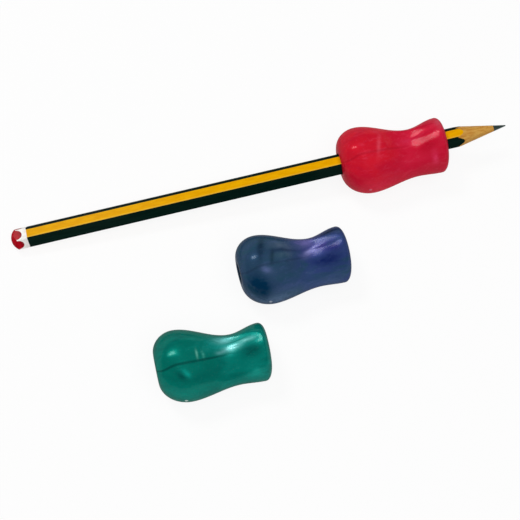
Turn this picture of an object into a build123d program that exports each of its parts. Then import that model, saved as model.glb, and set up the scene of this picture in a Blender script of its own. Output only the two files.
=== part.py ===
from build123d import *
from math import asin, atan2, cos, degrees, hypot, pi, radians, sin, sqrt, tan
import os

# A hexagonal pencil with a soft moulded grip pushed on near its point, and two loose grips of the
# same moulding beside it on the table. Sizes are in millimetres and angles in degrees. +X runs
# along the pencil towards its point, +Z is up, and the origin is on the table below the middle.

# Pencil
PENCIL_LENGTH = 175.5
PENCIL_FLATS = 6.8
CORNER_RADIUS = 0.5
LACQUER = 0.12
LEAD_DIAMETER = 2.15
POINT_HALF_ANGLE = 11.2
POINT_BLUNT_RADIUS = 0.18
PENCIL_ROLL = 27.5

# Tail of the pencil, measured along it from its end
DOME_RADIUS = 4.4
DIP_THICKNESS = 0.3
DIP_LOBE = 4.4
DIP_NOTCH = 2.4
NOTCH_LAND = 0.04
DIP_SWEEP = 40.0
BAND_END = 6.0

# Black line that is left along both edges of a yellow facet
STRIPE_EDGE = 0.35

# Bore of the grip: as moulded, and stretched to the pencil's hexagon
BORE_SQUEEZE = 0.1
BORE_CLEARANCE = 0.06
BORE_CHAMFER = 0.4

# Grip walls over the stretched bore: on the crest, on the belly and on each side. The bulb is
# placed from the grip's rear end, the waist from its front end, and the edge is the rounded
# length between the lip and the front end.
GRIP_LENGTH = 37.0
REAR_LAND = 0.7
FRONT_LAND = 1.1
CREST_BULB_AT = 7.2
CREST_BULB = 7.5
CREST_WAIST_AT = 11.5
CREST_WAIST = 2.2
CREST_EDGE = 2.1
CREST_LIP = 4.1
BELLY_BULB_AT = 9.9
BELLY_BULB = 8.8
BELLY_WAIST_AT = 11.2
BELLY_WAIST = 6.7
BELLY_EDGE = 2.9
BELLY_LIP = 7.2
SIDE_BULB_AT = 9.4
SIDE_BULB = 6.2
SIDE_WAIST_AT = 14.5
SIDE_WAIST = 3.9
SIDE_EDGE = 2.0
SIDE_LIP = 5.5

# Finger scoop in each side: its places along the grip, from the front end, and the turn of its
# middle from the crest and its spread to both sides
SCOOP_DEPTH = 1.6
SCOOP_START = 24.0
SCOOP_DEEPEST = 11.5
SCOOP_END = 1.5
SCOOP_TURN = 88.0
SCOOP_SPREAD = 46.0

# Layout on the table: how far the rear rims of the loose grips lie behind that of the fitted one
# and beside the pencil
GRIP_FROM_POINT = 22.5
VIOLET_BEHIND = 42.9
VIOLET_BESIDE = 31.2
VIOLET_YAW = 1.2
GREEN_BEHIND = 76.2
GREEN_BESIDE = 56.8
GREEN_YAW = -0.5

# Cross-sections of the lofted grip
SECTION_POINTS = 20
END_SECTIONS = 4
BODY_SECTIONS = 8

# Steps along the grip in the search for the place that it rests on
REST_STEPS = 400

# Sizes that follow from the driving ones
HALF_FACET = radians(30)
corner_centre = (PENCIL_FLATS / 2 - CORNER_RADIUS) / cos(HALF_FACET)
corner_reach = corner_centre + CORNER_RADIUS
stripe_width = PENCIL_FLATS * tan(HALF_FACET) - 2 * STRIPE_EDGE
wood_flats = PENCIL_FLATS - 2 * LACQUER
wood_corner = CORNER_RADIUS - LACQUER
point_slope = tan(radians(POINT_HALF_ANGLE))
apex = PENCIL_LENGTH + POINT_BLUNT_RADIUS / point_slope
bore_reach = corner_reach + BORE_CLEARANCE
grip_from_tail = PENCIL_LENGTH - GRIP_FROM_POINT - GRIP_LENGTH


def smooth_step(share):
    return share**2 * (3 - 2 * share)


def swell(along, bulb_at, bulb, waist_at, waist, edge, lip):
    """Half size of the grip: a round rear end, a bulb, a waist, a lip and a rounded front edge."""
    from_front = GRIP_LENGTH - along
    if along < bulb_at:
        wall = REAR_LAND + (bulb - REAR_LAND) * sqrt(1 - (1 - along / bulb_at) ** 2)
    elif from_front > waist_at:
        share = (along - bulb_at) / (GRIP_LENGTH - waist_at - bulb_at)
        wall = bulb + (waist - bulb) * smooth_step(share)
    elif from_front > edge:
        share = (waist_at - from_front) / (waist_at - edge)
        wall = waist + (lip - waist) * smooth_step(share)
    else:
        wall = FRONT_LAND + (lip - FRONT_LAND) * sqrt(1 - (1 - from_front / edge) ** 2)
    return bore_reach + wall


def crest(along):
    return swell(
        along, CREST_BULB_AT, CREST_BULB, CREST_WAIST_AT, CREST_WAIST, CREST_EDGE, CREST_LIP
    )


def belly(along):
    return swell(
        along, BELLY_BULB_AT, BELLY_BULB, BELLY_WAIST_AT, BELLY_WAIST, BELLY_EDGE, BELLY_LIP
    )


def side(along):
    return swell(along, SIDE_BULB_AT, SIDE_BULB, SIDE_WAIST_AT, SIDE_WAIST, SIDE_EDGE, SIDE_LIP)


def scoop(along):
    """Depth of the finger scoops, which fade out towards both ends."""
    from_front = GRIP_LENGTH - along
    faded = SCOOP_START if from_front > SCOOP_DEEPEST else SCOOP_END
    share = (from_front - faded) / (SCOOP_DEEPEST - faded)
    return SCOOP_DEPTH * smooth_step(max(0, share))


def grip_point(along, turn):
    """Point of a cross-section at an angle from the crest: local X to the crest, Y to a side."""
    x = cos(turn) * (crest(along) if cos(turn) > 0 else belly(along))
    y = sin(turn) * side(along)
    from_scoop = abs(min(turn, 2 * pi - turn) - radians(SCOOP_TURN))
    hollow = cos(pi / 2 * min(1, from_scoop / radians(SCOOP_SPREAD))) ** 2
    inwards = 1 - scoop(along) * hollow / hypot(x, y)
    return (x * inwards, y * inwards)


def grip_stations():
    """Places of the cross-sections, closer together round the two ends."""
    turns = [pi / 2 * i / END_SECTIONS for i in range(END_SECTIONS + 1)]
    body_length = GRIP_LENGTH - CREST_BULB_AT - CREST_EDGE
    rear = [CREST_BULB_AT * (1 - cos(turn)) for turn in turns]
    body = [CREST_BULB_AT + body_length * i / BODY_SECTIONS for i in range(1, BODY_SECTIONS)]
    front = [GRIP_LENGTH - CREST_EDGE * (1 - sin(turn)) for turn in turns]
    return rear + body + front


def moulded_grip(seat, bore):
    """A grip with its rear rim on the seat plane, its crest on local X and its bore on local Z."""
    turns = [2 * pi * i / SECTION_POINTS for i in range(SECTION_POINTS)]
    with BuildPart() as grip:
        for along in grip_stations():
            with BuildSketch(seat.offset(along)):
                with BuildLine():
                    Spline([grip_point(along, turn) for turn in turns], periodic=True)
                make_face()
        loft()
        with BuildSketch(seat):
            add(bore)
        extrude(amount=GRIP_LENGTH, mode=Mode.SUBTRACT)
        rims = grip.faces().filter_by(GeomType.PLANE).filter_by(Axis(seat.origin, seat.z_dir))
        mouths = [edge for rim in rims for edge in rim.inner_wires()[0].edges()]
        chamfer(mouths, BORE_CHAMFER)
    return grip.part


def hexagon(flats, corner_radius, rotation=0):
    """Cross-section of the pencil, with a corner on local X before it is rotated."""
    with BuildSketch() as section:
        RegularPolygon(radius=flats / 2, side_count=6, major_radius=False, rotation=rotation)
        fillet(section.vertices(), corner_radius)
    return section.sketch


# How the set rests on the table. The pencil lies on a corner of its tail and on the bulb of the
# fitted grip, so its point is up. A loose grip lies on its bulb and its lip, so its nose is down.
tail_height = corner_centre * cos(radians(PENCIL_ROLL)) + CORNER_RADIUS
bulb_from_tail = grip_from_tail + SIDE_BULB_AT - DIP_NOTCH
pencil_pitch = asin((bore_reach + SIDE_BULB - tail_height) / bulb_from_tail)
loose_pitch = atan2(SIDE_BULB - SIDE_LIP, GRIP_LENGTH - SIDE_EDGE - SIDE_BULB_AT)
across = Vector(0, 1, 0)


def rear_height(nose_up):
    """Height of the rear rim's centre that lays a grip on the table at this pitch."""
    steps = [GRIP_LENGTH * i / REST_STEPS for i in range(REST_STEPS + 1)]
    return max(side(along) * cos(nose_up) - along * sin(nose_up) for along in steps)


# Planes across the fitted grip's rear rim and across the pencil's tail end
pencil_way = Vector(cos(pencil_pitch), 0, sin(pencil_pitch))
pencil_up = Vector(-sin(pencil_pitch), 0, cos(pencil_pitch))
rear_x = (grip_from_tail - PENCIL_LENGTH / 2) * cos(pencil_pitch)
pencil_y = (GREEN_BESIDE + BELLY_BULB - CREST_BULB) / 2
fitted_seat = Plane(
    origin=(rear_x, pencil_y, rear_height(pencil_pitch)), x_dir=across, z_dir=pencil_way
)
top_corner = pencil_up * cos(radians(PENCIL_ROLL)) - across * sin(radians(PENCIL_ROLL))
barrel = Plane(
    origin=fitted_seat.origin - pencil_way * grip_from_tail, x_dir=top_corner, z_dir=pencil_way
)
barrel_axis = Axis(barrel.origin, barrel.z_dir)
axial = Plane(origin=barrel.origin, x_dir=barrel.x_dir, z_dir=-barrel.y_dir)
clear_reach = PENCIL_FLATS


def loose_seat(behind, beside, yaw):
    """Seat plane of a loose grip, its crest turned to +Y."""
    way = Vector(cos(loose_pitch), 0, -sin(loose_pitch))
    return Plane(
        origin=(rear_x - behind, pencil_y - beside, rear_height(-loose_pitch)),
        x_dir=across.rotate(Axis.Z, yaw),
        z_dir=way.rotate(Axis.Z, yaw),
    )


def turned_form(dip):
    """Turned outside of the pencil: a domed tail under a dip, a clear barrel and the point."""
    dome = DOME_RADIUS - dip
    with BuildPart() as form:
        with BuildSketch(axial):
            with BuildLine():
                CenterArc(center=(0, DOME_RADIUS), radius=dome, start_angle=-90, arc_size=90)
                Polyline(
                    (dome, DOME_RADIUS),
                    (clear_reach, DOME_RADIUS),
                    (clear_reach, apex - clear_reach / point_slope),
                    (POINT_BLUNT_RADIUS, PENCIL_LENGTH),
                    (0, PENCIL_LENGTH),
                    (0, dip),
                )
            make_face()
        revolve(axis=barrel_axis)
    return form.part


painted_form = turned_form(0)
wood_form = turned_form(DIP_THICKNESS)

# Lead: a round rod of graphite and clay, sharpened with the wood
with BuildPart() as lead_core:
    with BuildSketch(barrel):
        Circle(LEAD_DIAMETER / 2)
    extrude(amount=PENCIL_LENGTH)
    add(wood_form, mode=Mode.INTERSECT)

# Barrel: two grooved slats glued round the lead, on a plane through two corners of the hexagon
glue_plane = Plane(
    origin=barrel.origin,
    x_dir=barrel.z_dir,
    z_dir=barrel.x_dir.rotate(barrel_axis, -degrees(HALF_FACET)),
)


def slat(keep):
    with BuildPart() as half:
        with BuildSketch(barrel):
            add(hexagon(wood_flats, wood_corner))
            Circle(LEAD_DIAMETER / 2, mode=Mode.SUBTRACT)
        extrude(amount=PENCIL_LENGTH)
        add(wood_form, mode=Mode.INTERSECT)
        split(bisect_by=glue_plane, keep=keep)
    return half.part


# Tail paint: a white band, and a dip over the end with a round lobe on each facet. The dip's curved
# end is as wide as the corners at the notches, and draws in to the flats at the tips of the lobes.
dip_radius = corner_reach - NOTCH_LAND
lobe_length = DIP_LOBE - DIP_NOTCH
lobe_drop = dip_radius - PENCIL_FLATS / 2
dip_curve = (lobe_length**2 + lobe_drop**2) / (2 * lobe_drop)
with BuildPart() as dip_form:
    with BuildSketch(axial):
        with BuildLine():
            curve = CenterArc(
                center=(dip_radius - dip_curve, DIP_NOTCH),
                radius=dip_curve,
                start_angle=0,
                arc_size=DIP_SWEEP,
            )
            Polyline(
                curve @ 1,
                (0, (curve @ 1).Y),
                (0, 0),
                (clear_reach, 0),
                (clear_reach, DIP_NOTCH),
                curve @ 0,
            )
        make_face()
    revolve(axis=barrel_axis)

with BuildPart() as bare_tail:
    with BuildSketch(barrel):
        add(hexagon(wood_flats, wood_corner))
    extrude(amount=PENCIL_LENGTH)
    add(wood_form, mode=Mode.INTERSECT)

with BuildPart() as tail_paint:
    with BuildSketch(barrel):
        add(hexagon(PENCIL_FLATS, CORNER_RADIUS))
    extrude(amount=BAND_END)
    add(painted_form, mode=Mode.INTERSECT)
    add(bare_tail.part, mode=Mode.SUBTRACT)

with BuildPart() as dipped_end:
    add(tail_paint.part)
    add(dip_form.part, mode=Mode.INTERSECT)

with BuildPart() as white_band:
    add(tail_paint.part)
    add(dip_form.part, mode=Mode.SUBTRACT)

# Stripes: yellow paint on every other facet, inside black paint on the rest
stripe_places = PolarLocations(
    radius=(PENCIL_FLATS - LACQUER) / 2, count=3, start_angle=-degrees(HALF_FACET)
)
with BuildPart() as yellow_stripes:
    with BuildSketch(barrel.offset(BAND_END)):
        with stripe_places:
            Rectangle(LACQUER, stripe_width)
    extrude(amount=PENCIL_LENGTH - BAND_END)
    add(painted_form, mode=Mode.INTERSECT)

with BuildPart() as black_lacquer:
    with BuildSketch(barrel.offset(BAND_END)):
        add(hexagon(PENCIL_FLATS, CORNER_RADIUS))
        add(hexagon(wood_flats, wood_corner), mode=Mode.SUBTRACT)
        with stripe_places:
            Rectangle(LACQUER, stripe_width, mode=Mode.SUBTRACT)
    extrude(amount=PENCIL_LENGTH - BAND_END)
    add(painted_form, mode=Mode.INTERSECT)

# Grips: the fitted one is stretched to the hexagon, and the loose ones are round as moulded
crest_to_corner = 90 + PENCIL_ROLL
fitted_bore = hexagon(
    PENCIL_FLATS + 2 * BORE_CLEARANCE, CORNER_RADIUS + BORE_CLEARANCE, crest_to_corner
)
with BuildSketch() as moulded_bore:
    Circle(PENCIL_FLATS / 2 - BORE_SQUEEZE)
violet_seat = loose_seat(VIOLET_BEHIND, VIOLET_BESIDE, VIOLET_YAW)
green_seat = loose_seat(GREEN_BEHIND, GREEN_BESIDE, GREEN_YAW)

pieces = {
    "lead_core": lead_core.part,
    "upper_slat": slat(Keep.TOP),
    "lower_slat": slat(Keep.BOTTOM),
    "black_lacquer": black_lacquer.part,
    "yellow_stripes": yellow_stripes.part,
    "white_band": white_band.part,
    "dipped_end": dipped_end.part,
    "red_grip": moulded_grip(fitted_seat, fitted_bore),
    "violet_grip": moulded_grip(violet_seat, moulded_bore.sketch),
    "green_grip": moulded_grip(green_seat, moulded_bore.sketch),
}

os.makedirs("parts", exist_ok=True)
for name, piece in pieces.items():
    piece.label = name
    export_step(piece, f"parts/{name}.step")
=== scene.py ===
import math
import bpy
from mathutils import Matrix, Vector


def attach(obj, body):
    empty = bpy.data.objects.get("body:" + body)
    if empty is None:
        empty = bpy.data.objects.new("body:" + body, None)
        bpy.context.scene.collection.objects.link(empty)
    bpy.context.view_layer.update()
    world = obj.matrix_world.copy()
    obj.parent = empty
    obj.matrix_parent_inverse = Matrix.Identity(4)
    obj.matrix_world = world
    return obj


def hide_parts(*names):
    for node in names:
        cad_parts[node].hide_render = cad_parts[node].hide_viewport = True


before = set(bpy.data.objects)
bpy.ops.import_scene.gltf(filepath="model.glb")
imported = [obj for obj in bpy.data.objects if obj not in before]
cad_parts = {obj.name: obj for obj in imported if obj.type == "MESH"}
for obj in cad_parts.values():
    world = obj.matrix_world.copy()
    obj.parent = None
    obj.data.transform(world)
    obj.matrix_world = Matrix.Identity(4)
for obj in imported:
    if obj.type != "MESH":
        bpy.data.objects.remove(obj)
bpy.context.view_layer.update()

bpy.context.scene.view_settings.view_transform = "Standard"


# Lead core
# The lead is a baked rod of graphite and clay that runs the length of the pencil. It is glued between
# the slats, shows only at the sharpened point, and has a dull metal shine with rings from the sharpener.

def lay(tree, kind, *feeds, out=0, **settings):
    """Lays a node in a tree, feeds its open sockets in order and gives back one of its outputs"""
    node = tree.nodes.new(kind)
    for key, value in settings.items():
        setattr(node, key, value)
    for socket, feed in zip([s for s in node.inputs if s.enabled], feeds):
        if isinstance(feed, bpy.types.NodeSocket):
            tree.links.new(feed, socket)
        elif feed is not None:
            socket.default_value = feed
    return [s for s in node.outputs if s.enabled][out] if isinstance(out, int) else node.outputs[out]


def calc(tree, operation, *feeds):
    return lay(tree, "ShaderNodeMath", *feeds, operation=operation)


def ramp(tree, value, start, end, low=0.0, high=1.0):
    """Eases from low to high while the value goes from start to end"""
    return lay(tree, "ShaderNodeMapRange", value, start, end, low, high, interpolation_type="SMOOTHSTEP")


def blend(tree, share, first, second):
    return lay(tree, "ShaderNodeMix", share, first, second, data_type="RGBA")


def noise(tree, place, size, detail=3.0, twist=0.0, roughness=0.55, lacunarity=2.0):
    """Cloudy noise whose grains are about this size, in the units of the place"""
    return lay(tree, "ShaderNodeTexNoise", place, 1.0 / size, detail, roughness, lacunarity, twist)


def start_finish(name):
    finish = bpy.data.materials.new(name)
    finish.use_nodes = True
    return finish, finish.node_tree, finish.node_tree.nodes["Principled BSDF"]


def dress(shader, **feeds):
    """Sets or links the shader's sockets by name"""
    for name, feed in feeds.items():
        socket = shader.inputs[name.replace("_", " ")]
        if isinstance(feed, bpy.types.NodeSocket):
            shader.id_data.links.new(feed, socket)
        else:
            socket.default_value = feed


def roughen(tree, height, strength, depth):
    """Bump from a height field, depth in metres"""
    return lay(tree, "ShaderNodeBump", strength, depth, None, height)


def srgb(red, green, blue):
    """A colour as seen on screen, 0 to 255, in the shader's linear values"""
    return (*((c / 255 / 12.92) if c < 11 else ((c / 255 + 0.055) / 1.055) ** 2.4
              for c in (red, green, blue)), 1.0)


def put_on(finish, *nodes):
    """Gives CAD nodes this finish in place of their plain one"""
    for node in nodes:
        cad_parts[node].data.materials.clear()
        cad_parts[node].data.materials.append(finish)


MM = 0.001
PENCIL_TAIL = Vector((-0.08762211, 0.02905, 0.00334937))
PENCIL_WAY = Vector((0.9985425359, 0.0, 0.0539703991))
PENCIL_UP = Vector((-0.0539703991, 0.0, 0.9985425359))
PENCIL_ROLL = math.radians(27.5)
corner_way = PENCIL_UP * math.cos(PENCIL_ROLL) - Vector((0, 1, 0)) * math.sin(PENCIL_ROLL)
pencil_turn = Matrix((PENCIL_WAY, corner_way.cross(PENCIL_WAY), corner_way)).transposed().to_euler()


def pencil_place(tree):
    """Place on the pencil in mm: x from the tail, z towards a corner of the hexagon"""
    place = lay(tree, "ShaderNodeTexCoord", out="Object")
    return lay(tree, "ShaderNodeMapping", place, PENCIL_TAIL, pencil_turn, (MM, MM, MM),
               vector_type="TEXTURE")


def stretch(tree, place, x, y, z):
    return lay(tree, "ShaderNodeMapping", place, (0, 0, 0), (0, 0, 0), (x, y, z), vector_type="POINT")


lead_finish, tree, shader = start_finish("lead_graphite")
place = pencil_place(tree)
rings = noise(tree, stretch(tree, place, 9.0, 1.2, 1.2), 1.0, 4.0)
smear = noise(tree, stretch(tree, place, 0.5, 2.5, 2.5), 1.0, 3.0)
dress(shader, Base_Color=blend(tree, smear, srgb(24, 40, 38), srgb(62, 80, 76)), Metallic=0.2,
      Roughness=ramp(tree, rings, 0.3, 0.7, 0.32, 0.5), Normal=roughen(tree, rings, 0.5, 0.00004))
put_on(lead_finish, "lead_core")


# Cedar slats
# Two grooved cedar slats are glued round the lead and planed to a hexagon. The wood shows on the
# sharpened cone, with long grain, darker late wood and the fine chatter of the blade.

cedar_finish, tree, shader = start_finish("cedar_wood")
place = pencil_place(tree)
grain = noise(tree, stretch(tree, place, 0.06, 1.6, 1.6), 1.0, 5.0, 0.35)
rays = noise(tree, stretch(tree, place, 0.25, 7.0, 7.0), 1.0, 2.0)
chatter = noise(tree, stretch(tree, place, 5.0, 0.6, 0.6), 1.0, 2.0)
wood = blend(tree, ramp(tree, grain, 0.38, 0.66), srgb(212, 163, 80), srgb(193, 132, 54))
wood = blend(tree, ramp(tree, rays, 0.5, 0.8, 0.0, 0.35), wood, srgb(170, 102, 42))
dress(shader, Base_Color=wood, Roughness=ramp(tree, grain, 0.3, 0.7, 0.5, 0.72), Specular_IOR_Level=0.15,
      Normal=roughen(tree, calc(tree, "ADD", grain, calc(tree, "MULTIPLY", chatter, 0.5)), 0.5, 0.00006))
put_on(cedar_finish, "upper_slat", "lower_slat")


# Black lacquer
# Black nitrocellulose lacquer covers three facets and every corner. Several thin coats leave it glossy,
# with a slight ripple from the grain under it and tiny worn specks on the corners.

def pencil_angle(tree, place):
    """Angle round the pencil in degrees, from the corner way"""
    y, z = (lay(tree, "ShaderNodeSeparateXYZ", place, out=axis) for axis in "YZ")
    return calc(tree, "DEGREES", calc(tree, "ARCTAN2", y, z))


HALF_FACET = 30.0

lacquer_finish, tree, shader = start_finish("black_lacquer")
place = pencil_place(tree)
ripple = noise(tree, stretch(tree, place, 0.15, 1.5, 1.5), 1.0, 2.0)
specks = noise(tree, place, 0.5, 4.0)
from_corner = calc(tree, "PINGPONG", pencil_angle(tree, place), HALF_FACET)
worn = calc(tree, "MULTIPLY", ramp(tree, from_corner, 3.0, 0.5), ramp(tree, specks, 0.66, 0.74))
coats = blend(tree, ramp(tree, ripple, 0.3, 0.7), srgb(4, 26, 20), srgb(8, 32, 26))
dress(shader, Base_Color=blend(tree, worn, coats, srgb(60, 58, 50)), Roughness=0.4, Specular_IOR_Level=0.0,
      Coat_Weight=0.04, Coat_Roughness=0.2, Normal=roughen(tree, ripple, 0.25, 0.00004))
put_on(lacquer_finish, "black_lacquer")


# Yellow stripes
# Three facets carry a yellow stripe, rolled on over the black so that a thin black line stays along each
# corner. A paler band along both edges of the stripe is a painted highlight, where light catches the rounded
# corners, and the black laps over one of them.

HALF_FLATS = 3.4
STRIPE_HALF = 1.6
BLACK_LAP = 0.35

yellow_finish, tree, shader = start_finish("yellow_paint")
place = pencil_place(tree)
ripple = noise(tree, stretch(tree, place, 0.12, 1.5, 1.5), 1.0, 2.0)
cloud = noise(tree, stretch(tree, place, 0.25, 0.9, 0.9), 1.0, 3.0)
past_corner = calc(tree, "SUBTRACT", pencil_angle(tree, place), HALF_FACET)
facet_angle = calc(tree, "RADIANS", calc(tree, "WRAP", past_corner, HALF_FACET, -HALF_FACET))
across = calc(tree, "MULTIPLY", calc(tree, "TANGENT", facet_angle), HALF_FLATS)
# Painted highlight: a paler band along both edges of each stripe, where light catches the rounded corners
painted_edge_highlight = ramp(tree, calc(tree, "ABSOLUTE", across), STRIPE_HALF - 0.5, STRIPE_HALF - 0.1, 0.0, 0.3)
lapped = ramp(tree, across, STRIPE_HALF - BLACK_LAP, STRIPE_HALF - BLACK_LAP + 0.08)
coat = blend(tree, ramp(tree, cloud, 0.3, 0.7), srgb(228, 160, 0), srgb(238, 174, 2))
coat = blend(tree, painted_edge_highlight, coat, srgb(248, 214, 96))
dress(shader, Base_Color=blend(tree, lapped, coat, srgb(6, 28, 22)), Roughness=0.38, Specular_IOR_Level=0.0,
      Coat_Weight=0.02, Coat_Roughness=0.2, Normal=roughen(tree, ripple, 0.25, 0.00004))
put_on(yellow_finish, "yellow_stripes")


# White band
# A ring of white paint, laid before the dip, marks off the tail. Its coat is a little uneven and lets
# some of the colours under it through.

white_finish, tree, shader = start_finish("white_paint")
place = pencil_place(tree)
cloud = noise(tree, stretch(tree, place, 0.6, 0.9, 0.9), 1.0, 4.0)
dress(shader, Base_Color=blend(tree, ramp(tree, cloud, 0.35, 0.7), srgb(253, 251, 247), srgb(240, 235, 230)),
      Roughness=ramp(tree, cloud, 0.3, 0.7, 0.36, 0.5), Specular_IOR_Level=0.0, Coat_Weight=0.1,
      Coat_Roughness=0.2, Normal=roughen(tree, cloud, 0.25, 0.00005))
put_on(white_finish, "white_band")


# Dipped end
# The tail is dipped in crimson paint, which runs a little further along each facet and dries in rounded
# lobes. The film is thicker and darker along its edge and very glossy.

DIP_EDGE = (2.4, 4.6)

dip_finish, tree, shader = start_finish("crimson_dip")
place = pencil_place(tree)
tail_x = lay(tree, "ShaderNodeSeparateXYZ", place, out="X")
cloud = noise(tree, place, 1.6, 3.0)
body = blend(tree, ramp(tree, cloud, 0.3, 0.7), srgb(170, 2, 20), srgb(188, 6, 28))
edge = ramp(tree, tail_x, *DIP_EDGE, 0.0, 0.6)
dress(shader, Base_Color=blend(tree, edge, body, srgb(112, 8, 24)), Roughness=0.3, Specular_IOR_Level=0.0,
      Coat_Weight=0.08, Coat_Roughness=0.2, Normal=roughen(tree, cloud, 0.2, 0.00006))
put_on(dip_finish, "dipped_end")


# Moulded grips
# Each grip is one injection moulding in soft pearlescent plastic, with a fat bulb at the rear, a waist, a
# flared lip at the front, a scoop for a finger on each side and a bore for the pencil. It is cored by a
# round pin, so a weld line runs along each side where the melt met again, and a gate mark stays below.

# Sizes in mm from the rear rim, walls over the bore, turns in degrees from the crest
WALL_SIZES = ("bulb at", "bulb", "waist at", "waist", "edge", "lip")
GRIP_SIZES = {
    "Length": 37.0, "Rear land": 0.7, "Front land": 1.1, "Bore reach": 3.89, "Chamfer": 0.4,
    **{f"Crest {size}": value for size, value in zip(WALL_SIZES, (7.2, 7.5, 11.5, 2.2, 2.1, 4.1))},
    **{f"Belly {size}": value for size, value in zip(WALL_SIZES, (9.9, 8.8, 11.2, 6.7, 2.9, 7.2))},
    **{f"Side {size}": value for size, value in zip(WALL_SIZES, (9.4, 6.2, 14.5, 3.9, 2.0, 5.5))},
    "Bulb slant": 0.12, "Scoop depth": 1.9, "Scoop at": 22.0, "Scoop rear": 7.2, "Scoop front": 13.6,
    "Scoop turn": 82.5, "Scoop crest": 35.0, "Scoop belly": 74.0,
    "Weld turn": 100.0, "Weld end": 26.0, "Weld depth": 0.09, "Weld width": 0.45,
    "Weld sweep": 8.0, "Sweep end": 7.0,
    "Valley depth": 0.2, "Valley width": 2.0,
    "Gate at": 7.6, "Gate turn": 171.0, "Gate radius": 0.55, "Gate height": 0.15,
    "Bore radius": 3.3, "Bore flats": 0.0, "Bore roll": 0.0,
}


def squared(tree, value):
    return calc(tree, "MULTIPLY", value, value)


def distance(tree, x, y):
    return calc(tree, "SQRT", calc(tree, "ADD", squared(tree, x), squared(tree, y)))


def arc(tree, degrees, radius):
    return calc(tree, "MULTIPLY", calc(tree, "RADIANS", degrees), radius)


def mix(tree, share, first, second):
    return lay(tree, "ShaderNodeMix", share, first, second, data_type="FLOAT")


def bell(tree, away, width):
    """One at nought, falling off over the width"""
    ratio = calc(tree, "DIVIDE", away, width)
    return calc(tree, "EXPONENT", calc(tree, "MULTIPLY", squared(tree, ratio), -1.0))


def lay_wall(tree, along, part, sizes):
    """The wall over the bore on one side: round rear end, bulb, waist, lip and round front end"""
    from_front = calc(tree, "SUBTRACT", sizes["Length"], along)
    bulb_at, bulb, waist_at, waist, edge, lip = (sizes[f"{part} {size}"] for size in WALL_SIZES)

    def round_end(from_end, depth, land, full):
        left = calc(tree, "SUBTRACT", 1.0, calc(tree, "MINIMUM", calc(tree, "DIVIDE", from_end, depth), 1.0))
        quarter = calc(tree, "SQRT", calc(tree, "SUBTRACT", 1.0, squared(tree, left)))
        missing = calc(tree, "SUBTRACT", quarter, 1.0)
        return calc(tree, "MULTIPLY", calc(tree, "SUBTRACT", full, land), missing)

    bulb_from_front = calc(tree, "SUBTRACT", sizes["Length"], bulb_at)
    narrowing = ramp(tree, from_front, waist_at, bulb_from_front, waist, bulb)
    flare = ramp(tree, from_front, waist_at, edge, 0.0, calc(tree, "SUBTRACT", lip, waist))
    ends = calc(tree, "ADD", round_end(along, bulb_at, sizes["Rear land"], bulb),
                round_end(from_front, edge, sizes["Front land"], lip))
    return calc(tree, "ADD", calc(tree, "ADD", narrowing, flare), ends)


# Steps of the sheet that becomes the skin: along the outside, on a land, a chamfer and the bore, and around
OUTSIDE, LAND, BEVEL, BORE, AROUND = 150, 6, 2, 24, 288
BUNCHING = 0.8
SEAM_GAP = 0.0005

grip_tree = tree = bpy.data.node_groups.new("moulded_grip", "GeometryNodeTree")
grip_sockets = {}
for name, value in GRIP_SIZES.items():
    grip_sockets[name] = tree.interface.new_socket(name, in_out="INPUT", socket_type="NodeSocketFloat")
    grip_sockets[name].default_value = value
for name in ("Rear rim", "Crest way", "Side way", "Bore way"):
    grip_sockets[name] = tree.interface.new_socket(name, in_out="INPUT", socket_type="NodeSocketVector")
grip_sockets["Finish"] = tree.interface.new_socket("Finish", in_out="INPUT",
                                                   socket_type="NodeSocketMaterial")
tree.interface.new_socket("Grip", in_out="OUTPUT", socket_type="NodeSocketGeometry")
sizes = {s.name: s for s in tree.nodes.new("NodeGroupInput").outputs if s.name}

inner = 2 * LAND + 2 * BEVEL + BORE
sheet = lay(tree, "GeometryNodeMeshGrid", OUTSIDE + inner, math.tau, OUTSIDE + inner + 1, AROUND + 1)
spot = lay(tree, "GeometryNodeInputPosition")
step = calc(tree, "ADD", lay(tree, "ShaderNodeSeparateXYZ", spot, out="X"), (OUTSIDE + inner) / 2)
turn = calc(tree, "ADD", lay(tree, "ShaderNodeSeparateXYZ", spot, out="Y"), math.pi)

share = calc(tree, "MINIMUM", calc(tree, "DIVIDE", step, OUTSIDE), 1.0)
wave = calc(tree, "SINE", calc(tree, "MULTIPLY", share, math.tau))
bunch = calc(tree, "MULTIPLY", wave, BUNCHING / math.tau)
outer_along = calc(tree, "MULTIPLY", sizes["Length"], calc(tree, "SUBTRACT", share, bunch))
inward = calc(tree, "MAXIMUM", calc(tree, "SUBTRACT", step, OUTSIDE), 0.0)
from_end = calc(tree, "MINIMUM", inward, calc(tree, "SUBTRACT", inner, inward))
on_land = lay(tree, "ShaderNodeClamp", calc(tree, "DIVIDE", from_end, LAND))
on_bevel = lay(tree, "ShaderNodeClamp", calc(tree, "DIVIDE", calc(tree, "SUBTRACT", from_end, LAND), BEVEL))
in_bore = lay(tree, "ShaderNodeClamp",
              calc(tree, "DIVIDE", calc(tree, "SUBTRACT", inward, LAND + BEVEL), BORE))
set_in = calc(tree, "MULTIPLY", sizes["Chamfer"], on_bevel)
front_stop = calc(tree, "SUBTRACT", sizes["Length"], set_in)
inner_along = mix(tree, in_bore, front_stop, set_in)
is_inner = calc(tree, "GREATER_THAN", step, OUTSIDE)
along = mix(tree, is_inner, outer_along, inner_along)
nearest_end = calc(tree, "MULTIPLY", sizes["Length"], calc(tree, "LESS_THAN", in_bore, 0.5))
skin_along = mix(tree, is_inner, outer_along, nearest_end)

cosine, sine = calc(tree, "COSINE", turn), calc(tree, "SINE", turn)
fold = calc(tree, "DEGREES", calc(tree, "PINGPONG", turn, math.pi))

REAR_FADE = 5.0
SLANT_SPREAD = 24.0


def on_bulb(full, gone):
    """One on the bulb, fading towards the rear rim and, in front, from full to gone"""
    return calc(tree, "MULTIPLY", ramp(tree, skin_along, 0.0, REAR_FADE), ramp(tree, skin_along, gone, full))


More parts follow.
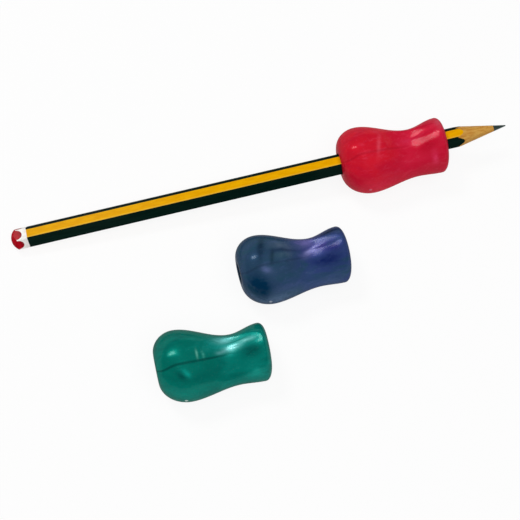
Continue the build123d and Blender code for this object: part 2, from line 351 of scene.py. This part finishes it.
off_side = calc(tree, "SUBTRACT", fold, sizes["Weld turn"])
slant = calc(tree, "MULTIPLY", calc(tree, "MULTIPLY", sizes["Bulb slant"], off_side),
             calc(tree, "MULTIPLY", bell(tree, off_side, SLANT_SPREAD), on_bulb(full=10.0, gone=18.0)))
side_along = calc(tree, "SUBTRACT", skin_along, slant)
crest, belly, side = (calc(tree, "ADD", sizes["Bore reach"], lay_wall(tree, at, part, sizes))
                      for part, at in (("Crest", skin_along), ("Belly", skin_along), ("Side", side_along)))
to_crest = mix(tree, calc(tree, "GREATER_THAN", cosine, 0.0), belly, crest)
skin_x, skin_y = calc(tree, "MULTIPLY", cosine, to_crest), calc(tree, "MULTIPLY", sine, side)
reach = distance(tree, skin_x, skin_y)

CRISP_RIM, SOFT_RIM = 1.2, 1.5
RIM_TURNS = (-10.0, 30.0)


def oval_side(past, before, after):
    """Distance from the middle of the scoop as a share of its half length on that side"""
    return calc(tree, "MAXIMUM", calc(tree, "DIVIDE", calc(tree, "MULTIPLY", past, -1.0), before),
                calc(tree, "DIVIDE", past, after))


scoop_along = calc(tree, "SUBTRACT", skin_along, sizes["Scoop at"])
scoop_turn = calc(tree, "SUBTRACT", fold, sizes["Scoop turn"])
oval = calc(tree, "ADD", squared(tree, oval_side(scoop_along, sizes["Scoop rear"], sizes["Scoop front"])),
            squared(tree, oval_side(scoop_turn, sizes["Scoop crest"], sizes["Scoop belly"])))
dish = calc(tree, "MAXIMUM", calc(tree, "SUBTRACT", 1.0, oval), 0.0)
rim_shape = ramp(tree, scoop_turn, *RIM_TURNS, CRISP_RIM, SOFT_RIM)
scooped = calc(tree, "MULTIPLY", sizes["Scoop depth"], calc(tree, "POWER", dish, rim_shape))

WELD_FADE = 6.0
GATE_FOOT = 1.35

sweep = ramp(tree, skin_along, 0.0, sizes["Sweep end"], sizes["Weld sweep"], 0.0)
weld_turn = calc(tree, "ADD", sizes["Weld turn"], sweep)
off_weld = arc(tree, calc(tree, "SUBTRACT", fold, weld_turn), reach)
weld_fade = ramp(tree, skin_along, sizes["Weld end"], calc(tree, "SUBTRACT", sizes["Weld end"], WELD_FADE))
weld = calc(tree, "MULTIPLY", sizes["Weld depth"], bell(tree, off_weld, sizes["Weld width"]))
valley = calc(tree, "MULTIPLY", calc(tree, "MULTIPLY", sizes["Valley depth"], on_bulb(full=9.0, gone=20.0)),
              bell(tree, off_weld, sizes["Valley width"]))
creases = calc(tree, "ADD", calc(tree, "MULTIPLY", weld, weld_fade), valley)

gate_off = arc(tree, calc(tree, "SUBTRACT", calc(tree, "DEGREES", turn), sizes["Gate turn"]), reach)
gate_away = distance(tree, gate_off, calc(tree, "SUBTRACT", skin_along, sizes["Gate at"]))
gate_foot = calc(tree, "MULTIPLY", sizes["Gate radius"], GATE_FOOT)
gate = ramp(tree, gate_away, gate_foot, sizes["Gate radius"], 0.0, sizes["Gate height"])

pull = calc(tree, "SUBTRACT", calc(tree, "ADD", scooped, creases), gate)
keep = calc(tree, "SUBTRACT", 1.0, calc(tree, "DIVIDE", pull, reach))
skin_x, skin_y = calc(tree, "MULTIPLY", skin_x, keep), calc(tree, "MULTIPLY", skin_y, keep)

HALF_FLAT = math.pi / 6

off_corner = calc(tree, "PINGPONG", calc(tree, "SUBTRACT", turn, sizes["Bore roll"]), HALF_FLAT)
off_flat = calc(tree, "COSINE", calc(tree, "SUBTRACT", HALF_FLAT, off_corner))
hexagon = calc(tree, "MINIMUM", calc(tree, "DIVIDE", sizes["Bore radius"], off_flat), sizes["Bore reach"])
bore = mix(tree, sizes["Bore flats"], sizes["Bore radius"], hexagon)
opening = calc(tree, "MULTIPLY", sizes["Chamfer"], calc(tree, "SUBTRACT", 1.0, on_bevel))
mouth = calc(tree, "ADD", bore, opening)


def go_in(skin, direction):
    """From the skin over the flat land to the bore's mouth and on along the bore"""
    return mix(tree, on_land, skin, calc(tree, "MULTIPLY", mouth, direction))


local_x, local_y = go_in(skin_x, cosine), go_in(skin_y, sine)
place = sizes["Rear rim"]
for way, amount in (("Crest way", local_x), ("Side way", local_y), ("Bore way", along)):
    amount = lay(tree, "ShaderNodeCombineXYZ", amount, amount, amount)
    place = lay(tree, "ShaderNodeVectorMath", sizes[way], amount, place, operation="MULTIPLY_ADD")

as_moulded = lay(tree, "ShaderNodeCombineXYZ", along, local_x, local_y)
on_skin = lay(tree, "ShaderNodeCombineXYZ", calc(tree, "DIVIDE", along, sizes["Length"]),
              calc(tree, "DIVIDE", turn, math.tau), 0.0)
skin = lay(tree, "GeometryNodeStoreNamedAttribute", sheet, None, "skin", on_skin,
           data_type="FLOAT2", domain="CORNER")
skin = lay(tree, "GeometryNodeStoreNamedAttribute", skin, None, "as_moulded", as_moulded,
           data_type="FLOAT_VECTOR", domain="POINT")
skin = lay(tree, "GeometryNodeSetPosition", skin, None, place)
skin = lay(tree, "GeometryNodeMergeByDistance", skin, None, SEAM_GAP)
skin = lay(tree, "GeometryNodeTransform", skin, (0, 0, 0), (0, 0, 0), (MM, MM, MM))
skin = lay(tree, "GeometryNodeFlipFaces", skin)
skin = lay(tree, "GeometryNodeSetShadeSmooth", skin, None, True)
skin = lay(tree, "GeometryNodeRealizeInstances", skin)
skin = lay(tree, "GeometryNodeSetMaterial", skin, None, sizes["Finish"])
tree.links.new(skin, tree.nodes.new("NodeGroupOutput").inputs[0])


LIP_BEGINS = (17.0, 27.0)
WELD_SHADE = (3.6, 0.4)
WELD_PALES = 8.0
GATE_MM_PER_DEGREE = 0.2
FLAKE = (0.8, 0.8, 0.85, 1.0)
BORE_PAINTED_SHADE = (0.45, 0.2)


def pearl_finish(name, metal, bulb, lip, swirl, pearl, weld_dark, weld_share, gate_pale, pearl_and_painted_light):
    """Soft plastic with pearl pigment: the bulb's colour runs into the lip's, a darker swirl and paler wisps
    follow the melt, and each streak is (place, turn, half length, half width, slant, strength, colour).
    Some streaks are pearl, and some are painted highlights and painted shade."""
    finish, tree, shader = start_finish(name)
    skin = lay(tree, "ShaderNodeUVMap", uv_map="skin")
    along = calc(tree, "MULTIPLY", lay(tree, "ShaderNodeSeparateXYZ", skin, out="X"), GRIP_SIZES["Length"])
    whole_turn = calc(tree, "MULTIPLY", lay(tree, "ShaderNodeSeparateXYZ", skin, out="Y"), 360.0)
    turn = calc(tree, "PINGPONG", whole_turn, 180.0)
    inside = lay(tree, "ShaderNodeAttribute", attribute_name="as_moulded", out="Vector")
    flow = noise(tree, stretch(tree, inside, 0.09, 0.2, 0.2), 1.0, 4.0, 1.2)
    wisps = noise(tree, stretch(tree, inside, 0.35, 0.8, 0.8), 1.0, 3.0, 0.8)
    flakes = noise(tree, inside, 0.25, 2.0)

    run = calc(tree, "ADD", along, calc(tree, "MULTIPLY", flow, 6.0))
    colour = blend(tree, ramp(tree, run, *LIP_BEGINS), bulb, lip)
    colour = blend(tree, ramp(tree, flow, 0.4, 0.75), colour, swirl)
    colour = blend(tree, ramp(tree, wisps, 0.5, 0.75, 0.0, 0.35), colour, pearl)
    uneven = ramp(tree, wisps, 0.25, 0.65, 0.55, 1.1)
    for at, at_turn, length, width, slant, strength, tint in pearl_and_painted_light:
        y = calc(tree, "SUBTRACT", turn, at_turn)
        x = calc(tree, "SUBTRACT", calc(tree, "SUBTRACT", along, at), calc(tree, "MULTIPLY", y, slant))
        x, y = calc(tree, "DIVIDE", x, length), calc(tree, "DIVIDE", y, width)
        away = calc(tree, "ADD", squared(tree, x), squared(tree, y))
        soft = calc(tree, "EXPONENT", calc(tree, "MULTIPLY", away, -1.0))
        share = calc(tree, "MULTIPLY", soft, calc(tree, "MULTIPLY", uneven, strength))
        colour = blend(tree, calc(tree, "MINIMUM", share, 1.0), colour, tint)

    weld_turn, weld_end = GRIP_SIZES["Weld turn"], GRIP_SIZES["Weld end"]
    swept = ramp(tree, along, 0.0, GRIP_SIZES["Sweep end"], weld_turn + GRIP_SIZES["Weld sweep"], weld_turn)
    line = ramp(tree, calc(tree, "ABSOLUTE", calc(tree, "SUBTRACT", turn, swept)), *WELD_SHADE)
    line = calc(tree, "MULTIPLY", line, ramp(tree, along, weld_end, weld_end - WELD_PALES, 0.0, weld_share))
    colour = blend(tree, line, colour, weld_dark)

    gate_radius = GRIP_SIZES["Gate radius"]
    gate_along = calc(tree, "SUBTRACT", along, GRIP_SIZES["Gate at"])
    gate_turn = calc(tree, "SUBTRACT", whole_turn, GRIP_SIZES["Gate turn"])
    gate_away = distance(tree, gate_along, calc(tree, "MULTIPLY", gate_turn, GATE_MM_PER_DEGREE))
    colour = blend(tree, ramp(tree, gate_away, gate_radius * 1.3, gate_radius * 0.5), colour, gate_pale)
    colour = blend(tree, ramp(tree, flakes, 0.6, 0.8, 0.0, 0.06), colour, FLAKE)

    # Painted shade: the bore's wall and the chamfer at its mouths are painted darker, where shade falls
    # inside the hole
    sideways = stretch(tree, inside, 0.0, 1.0, 1.0)
    off_axis = lay(tree, "ShaderNodeVectorMath", sideways, operation="LENGTH", out="Value")
    outer, deep = (GRIP_SIZES["Bore radius"] + depth for depth in BORE_PAINTED_SHADE)
    colour = blend(tree, ramp(tree, off_axis, outer, deep, 0.0, 0.6), colour, srgb(8, 10, 12))
    dress(shader, Base_Color=colour, Roughness=ramp(tree, flow, 0.3, 0.7, 0.29, 0.37), Metallic=metal,
          Specular_IOR_Level=0.0, Specular_Tint=(0.2, 0.2, 0.2, 1.0), Coat_Weight=0.15, Coat_Roughness=0.13,
          Normal=roughen(tree, flow, 0.08, 0.0002))
    return finish


def mould_grip(name, finish, rear_rim, crest_way, bore_way, **sizes):
    """Moulds one grip, with its rear rim's middle in mm and its crest and bore pointing as the solid's do"""
    rear_rim, crest_way, bore_way = Vector(rear_rim), Vector(crest_way), Vector(bore_way)
    grip = bpy.data.objects.new(name, bpy.data.meshes.new(name))
    bpy.context.scene.collection.objects.link(grip)
    moulding = grip.modifiers.new("moulding", "NODES")
    moulding.node_group = grip_tree
    feeds = {**GRIP_SIZES, **{key.replace("_", " "): value for key, value in sizes.items()},
             "Rear rim": rear_rim, "Crest way": crest_way, "Side way": crest_way.cross(bore_way) * -1,
             "Bore way": bore_way, "Finish": finish}
    for key, value in feeds.items():
        moulding[grip_sockets[key].identifier] = value
    mesh = bpy.data.meshes.new_from_object(grip.evaluated_get(bpy.context.evaluated_depsgraph_get()))
    grip.modifiers.remove(moulding)
    grip.data = mesh
    return grip


# Red grip
# The fitted grip is crimson, pushed onto the pencil near its point, where the squeeze of its stretched
# bore holds it.

red_finish = pearl_finish(
    "red_pearl", metal=0.06, bulb=srgb(212, 24, 46), lip=srgb(206, 26, 58), swirl=srgb(200, 18, 48),
    pearl=srgb(226, 64, 92), weld_dark=srgb(160, 6, 34), weld_share=0.3, gate_pale=srgb(232, 110, 130),
    pearl_and_painted_light=(
        (9.0, 167, 9.0, 18, 0.0, 0.7, srgb(236, 42, 74)),
        (5.0, 140, 4.0, 16, 0.0, 0.5, srgb(214, 18, 48)),
        (18.0, 140, 9.0, 18, 0.0, 0.5, srgb(194, 26, 58)),
        # painted shade: darker in the scoop's lower front part
        (29.4, 109, 4.6, 16, 0.0, 0.9, srgb(184, 8, 38)),
        (28.0, 97, 2.4, 9, 0.0, 0.8, srgb(180, 4, 44)),
        # painted highlight: a pale band low on the lip
        (31.2, 138, 1.0, 14, 0.0, 0.5, srgb(232, 62, 106)),
        # pink patch in the scoop: pearl, and in part a painted highlight
        (23.4, 87, 3.2, 11, 0.0, 0.4, srgb(216, 54, 92)),
        (13.2, 90, 0.7, 18, -0.06, 0.5, srgb(234, 90, 112)),
        # painted shade: a darker band along the scoop's crest side
        (29.0, 61, 3.4, 6, 0.0, 0.6, srgb(178, 14, 40)),
        # painted highlight: a paler band along the lip's rim
        (35.0, 66, 1.2, 20, 0.0, 0.5, srgb(206, 90, 108))))
red_grip = mould_grip("red_grip_moulding", red_finish, rear_rim=(28.20883, 29.05, 9.60994),
                      crest_way=(0, 1, 0), bore_way=PENCIL_WAY, Bore_radius=3.46, Bore_flats=1.0,
                      Bore_roll=math.radians(57.5))
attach(red_grip, "fitted_grip")
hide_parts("red_grip")


# Violet grip
# The loose violet grip is the same moulding, with its bore round as the pin left it, and lies on its side
# on the table. Its pearl runs from slate blue at the bulb to violet at the lip.

violet_finish = pearl_finish(
    "violet_pearl", metal=0.18, bulb=srgb(44, 72, 102), lip=srgb(48, 68, 120), swirl=srgb(38, 76, 96),
    pearl=srgb(68, 90, 136), weld_dark=srgb(22, 40, 62), weld_share=0.28, gate_pale=srgb(190, 196, 214),
    pearl_and_painted_light=(
        (14.5, 67, 4.0, 8, 0.0, 0.75, srgb(80, 98, 122)),
        (8.0, 70, 1.3, 26, -0.06, 0.8, srgb(14, 38, 60)),
        (11.0, 88, 0.8, 12, -0.06, 0.9, srgb(18, 44, 60)),
        (14.5, 89, 3.2, 6, 0.0, 0.75, srgb(64, 92, 112)),
        (15.5, 78, 4.6, 4.0, 0.0, 0.75, srgb(24, 46, 74)),
        (18.0, 142, 10.0, 18, 0.0, 0.6, srgb(56, 76, 124)),
        (7.5, 168, 9.0, 15, 0.0, 0.95, srgb(84, 110, 144)),
        (28.0, 168, 6.0, 14, 0.0, 0.7, srgb(68, 90, 136)),
        (5.0, 133, 3.0, 19, 0.04, 1.6, srgb(0, 47, 79)),
        (27.0, 82, 6.0, 24, 0.0, 0.8, srgb(64, 58, 126)),
        (31.8, 47, 3.6, 9, 0.0, 0.9, srgb(28, 44, 72)),
        # pale purple high in the scoop: pearl, and in part a painted highlight
        (23.4, 53, 3.8, 14, 0.0, 0.85, srgb(104, 100, 162)),
        # painted shade: darker deep in the scoop's lower part
        (31.6, 94, 2.8, 9, 0.0, 1.0, srgb(32, 36, 100)),
        (28.6, 116, 5.6, 13, 0.0, 1.0, srgb(18, 36, 94)),
        # painted highlight in the scoop
        (23.8, 88, 1.7, 10, -0.12, 0.92, srgb(136, 138, 196)),
        # painted highlight on the bulb
        (8.2, 108, 1.5, 6, 0.12, 0.6, srgb(94, 108, 158))))
violet_grip = mould_grip("violet_grip_moulding", violet_finish, rear_rim=(-14.69117, -2.15, 10.36647),
                         crest_way=(-0.020942, 0.999781, 0), bore_way=(0.9994071, 0.0209346, -0.0273335))
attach(violet_grip, "loose_violet")
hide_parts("violet_grip")


# Green grip
# The loose green grip is the same moulding again, with a round bore, and lies on its side beside the violet
# one. Its pearl is an even teal green, so the weld line shows most here.

green_finish = pearl_finish(
    "green_pearl", metal=0.28, bulb=srgb(0, 120, 106), lip=srgb(0, 126, 114), swirl=srgb(0, 108, 98),
    pearl=srgb(14, 142, 130), weld_dark=srgb(0, 66, 62), weld_share=0.65, gate_pale=srgb(215, 236, 230),
    pearl_and_painted_light=(
        (6.0, 154, 8.0, 20, 0.0, 0.65, srgb(4, 138, 124)),
        (16.0, 122, 8.0, 18, 0.0, 0.5, srgb(0, 108, 98)),
        # painted shade: darker in the scoop's lower front part
        (30.6, 101, 3.6, 13, 0.0, 1.0, srgb(0, 82, 76)),
        # painted highlight: a pale band low on the lip
        (31.2, 142, 3.0, 19, 0.0, 0.65, srgb(16, 158, 144)),
        # painted shade below the bulb's highlight
        (7.6, 119, 1.5, 8, 0.1, 0.8, srgb(0, 82, 78)),
        # painted highlight on the bulb
        (9.3, 115, 0.9, 6, 0.1, 0.9, srgb(14, 170, 156)),
        # paler teal over the scoop: pearl, and in part a painted highlight
        (24.6, 77, 7.6, 15, 0.0, 0.75, srgb(28, 166, 158)),
        (19.4, 63, 2.4, 7, 0.0, 0.6, srgb(20, 158, 150)),
        (23.0, 56, 3.0, 9, 0.0, 0.9, srgb(112, 202, 200)),
        # painted highlights in the scoop
        (25.2, 83, 2.8, 10, -0.08, 0.68, srgb(136, 190, 194)),
        (21.6, 92, 1.5, 4, -0.1, 0.6, srgb(120, 190, 194)),
        # painted shade along the lower edge of that highlight
        (25.6, 101, 4.0, 3, 0.0, 0.6, srgb(0, 104, 98)),
        # painted highlight along the scoop's ridge
        (30.1, 74, 2.2, 6, 0.15, 0.72, srgb(128, 208, 204)),
        # painted shade: a dark line between the highlights
        (26.5, 66, 3.0, 1.8, 0.0, 0.7, srgb(0, 104, 96)),
        (28.5, 66.5, 2.2, 1.5, 0.25, 0.5, srgb(10, 110, 100)),
        (13.6, 89, 0.35, 7, 0.0, 0.65, srgb(120, 212, 190)),
        (15.5, 92, 0.45, 6, 0.02, 0.6, srgb(80, 195, 176))))
green_grip = mould_grip("green_grip_moulding", green_finish, rear_rim=(-47.99117, -27.75, 10.36647),
                        crest_way=(0.0087265, 0.9999619, 0), bore_way=(0.9995883, -0.0087233, -0.0273335))
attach(green_grip, "loose_green")
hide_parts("green_grip")


# Table, light and camera
# A round white table, whose far rim sweeps up so that low views end in white too, stands under two soft
# lamps in the glow of a white room. The camera looks down from the side of the loose grips.

RIM_STEPS = 48
RIM_PROFILE = ((6.0, 0.0), (6.5, 0.15), (6.8, 0.6), (6.9, 2.2))
GLOW_SHARE = 0.9
ROOM_GLOW = 0.15

rim = [(reach * math.cos(step * math.tau / RIM_STEPS), reach * math.sin(step * math.tau / RIM_STEPS), height)
       for reach, height in RIM_PROFILE for step in range(RIM_STEPS)]
rim_faces = [(RIM_STEPS * row + step, RIM_STEPS * row + (step + 1) % RIM_STEPS,
              RIM_STEPS * (row + 1) + (step + 1) % RIM_STEPS, RIM_STEPS * (row + 1) + step)
             for row in range(len(RIM_PROFILE) - 1) for step in range(RIM_STEPS)]
table_mesh = bpy.data.meshes.new("table")
table_mesh.from_pydata(rim, [], [tuple(range(RIM_STEPS)), *rim_faces])
table = bpy.data.objects.new("table", table_mesh)
bpy.context.scene.collection.objects.link(table)
table_finish = bpy.data.materials.new("white_table")
table_finish.use_nodes = True
tree = table_finish.node_tree
tree.nodes.clear()
path = tree.nodes.new("ShaderNodeLightPath").outputs
mirrored = calc(tree, "MAXIMUM", path["Is Glossy Ray"], path["Is Transmission Ray"])
seen = calc(tree, "MAXIMUM", path["Is Camera Ray"], mirrored)
paper = lay(tree, "ShaderNodeBsdfDiffuse", (0.9, 0.9, 0.9, 1))
glow = lay(tree, "ShaderNodeEmission", (1, 1, 1, 1), 1.0)
top = lay(tree, "ShaderNodeMixShader", calc(tree, "MULTIPLY", seen, GLOW_SHARE), paper, glow)
tree.links.new(top, tree.nodes.new("ShaderNodeOutputMaterial").inputs[0])
table_mesh.materials.append(table_finish)

room = bpy.data.worlds.new("white_room")
room.use_nodes = True
room.node_tree.nodes["Background"].inputs["Color"].default_value = (1, 1, 1, 1)
room.node_tree.nodes["Background"].inputs["Strength"].default_value = ROOM_GLOW
bpy.context.scene.world = room


def hang_lamp(name, way, distance, size, power):
    """A round soft lamp that hangs this way from the object and faces it"""
    lamp = bpy.data.objects.new(name, bpy.data.lights.new(name, "AREA"))
    lamp.data.shape = "DISK"
    lamp.data.size, lamp.data.energy = size, power
    lamp.location = Vector(way).normalized() * distance
    lamp.rotation_euler = Vector(way).to_track_quat("Z", "Y").to_euler()
    bpy.context.scene.collection.objects.link(lamp)
    return lamp


hang_lamp("soft_lamp", (-0.28, 0.42, 0.86), distance=0.8, size=0.24, power=2.2)
broad_lamp = hang_lamp("broad_lamp", (0.1, -0.3, 0.95), distance=1.2, size=1.2, power=9.0)
broad_lamp.visible_glossy = False

FRAME_PIXELS = 520
FOCAL_PIXELS = 1000
SENSOR = 36.0

camera = bpy.data.objects.new("camera", bpy.data.cameras.new("camera"))
camera.data.sensor_width = SENSOR
camera.data.lens = SENSOR * FOCAL_PIXELS / FRAME_PIXELS
ahead = Vector((0.08277, 0.30497, -0.94876)).normalized()
right = Vector((0.97359, -0.228, 0.01165)).normalized()
camera.matrix_world = Matrix.Translation((-0.03449, -0.101138, 0.327817)) @ Matrix(
    (right, right.cross(ahead), -ahead)).transposed().to_4x4()
camera.data.clip_start = 0.01
bpy.context.scene.collection.objects.link(camera)
bpy.context.scene.camera = camera
